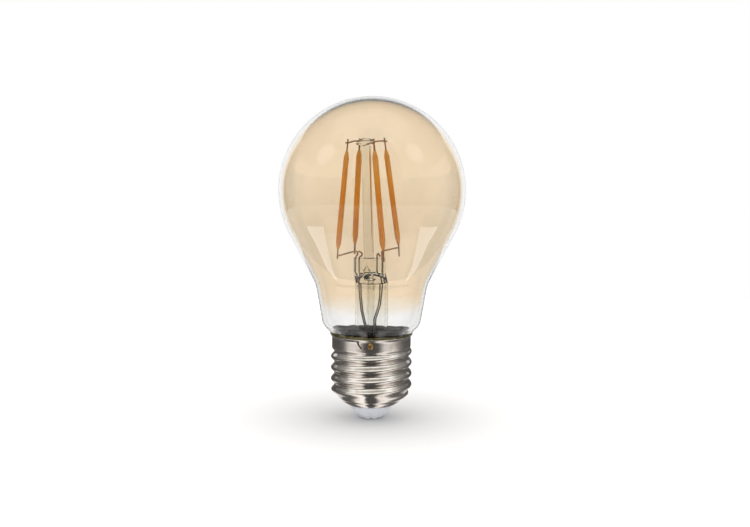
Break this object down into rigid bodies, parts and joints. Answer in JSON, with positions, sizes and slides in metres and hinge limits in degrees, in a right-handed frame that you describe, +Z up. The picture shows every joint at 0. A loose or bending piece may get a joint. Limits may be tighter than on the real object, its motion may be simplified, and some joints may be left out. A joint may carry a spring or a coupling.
{
  "type": "smart light bulb",
  "caption": "Pear-shaped amber glass filament lamp with straight LED filaments on a glass stem and a threaded metal screw cap.",
  "frame": {"origin": "centre of the end contact's outer face, at the bottom of the screw cap", "axes": "+Z up the bulb's axis from the cap to the crown of the glass; -Y is the front, the side with the solder spot on the cap's collar; +X is to the right seen from the front"},
  "size_m": [0.06, 0.06, 0.104],
  "materials": {
    "amber_glass": "clear glass with a thin amber tint, gloss",
    "black_plastic": "moulded black, matt",
    "board_green": "glass-epoxy board with solder resist, satin",
    "board_white": "white solder resist, satin",
    "capacitor_sleeve": "shrink sleeve on an aluminium can, gloss",
    "cement": "capping cement, olive-tan, matt",
    "chip_ceramic": "chip parts, tan, matt",
    "clear_glass": "clear soda-lime glass, blown or drawn",
    "contact_metal": "pressed contact, satin",
    "copper": "enamelled copper, gloss",
    "dumet": "copper-clad seal wire, dark red-brown",
    "ferrite": "sintered ferrite, matt",
    "filament_ceramic": "sintered alumina, matt",
    "gold_trace": "gold-plated copper track",
    "led_die": "gallium nitride die, gloss",
    "liner_film": "polyester insulating film, satin",
    "nickel_plated_brass": "bright nickel plate, fine draw marks",
    "nickel_wire": "nickel-plated wire, dulled brown by the glass work",
    "phosphor": "amber phosphor in silicone, satin",
    "resistor_body": "flameproof lacquer, satin",
    "rubber_bung": "capacitor bung, matt",
    "sleeve_clear": "heat-shrink sleeve, satin",
    "solder": "solder with brown flux, semi-gloss",
    "tab_steel": "plated steel strip, dull",
    "tin_shield": "tinned lid, satin",
    "tinned_wire": "tinned copper wire",
    "white_insulator": "white glazed insulating body, satin"
  },
  "bodies": {
    "root": {"base_insulator": "white_insulator", "bridge_rectifier": "black_plastic", "capacitor_bung": "rubber_bung", "capacitor_can": "capacitor_sleeve", "capping_cement": "cement", "carrier_wire_left": "nickel_wire", "carrier_wire_right": "nickel_wire", "centre_contact": "contact_metal", "chip_passives": "chip_ceramic", "choke_leads": "tinned_wire", "driver_board": "board_white", "driver_ic": "black_plastic", "dumet_seals": "dumet", "exhaust_tube": "clear_glass", "filament_1_end_tabs": "tab_steel", "filament_1_led_chips": "led_die", "filament_1_phosphor": "phosphor", "filament_1_substrate": "filament_ceramic", "filament_2_end_tabs": "tab_steel", "filament_2_led_chips": "led_die", "filament_2_phosphor": "phosphor", "filament_2_substrate": "filament_ceramic", "filament_3_end_tabs": "tab_steel", "filament_3_led_chips": "led_die", "filament_3_phosphor": "phosphor", "filament_3_substrate": "filament_ceramic", "filament_4_end_tabs": "tab_steel", "filament_4_led_chips": "led_die", "filament_4_phosphor": "phosphor", "filament_4_substrate": "filament_ceramic", "filter_choke": "ferrite", "fusible_resistor": "resistor_body", "glass_envelope": "amber_glass", "hook_wire_left": "nickel_wire", "hook_wire_right": "nickel_wire", "inductor_core": "ferrite", "inductor_winding": "copper", "insulating_liner": "liner_film", "live_wires": "tinned_wire", "lower_lead_left_inner": "copper", "lower_lead_left_outer": "copper", "lower_lead_right_inner": "copper", "lower_lead_right_outer": "copper", "neutral_wire": "tinned_wire", "radio_antenna": "gold_trace", "radio_board": "board_green", "radio_chip": "black_plastic", "radio_crystal": "tin_shield", "radio_pins": "tinned_wire", "resistor_sleeve": "sleeve_clear", "rod_bead": "clear_glass", "screw_shell": "nickel_plated_brass", "side_contact_solder": "solder", "stem_flare_tube": "clear_glass", "stem_pinch": "clear_glass", "support_rod": "clear_glass", "top_wire_inner": "nickel_wire", "top_wire_outer": "nickel_wire"}
  },
  "joints": []
}
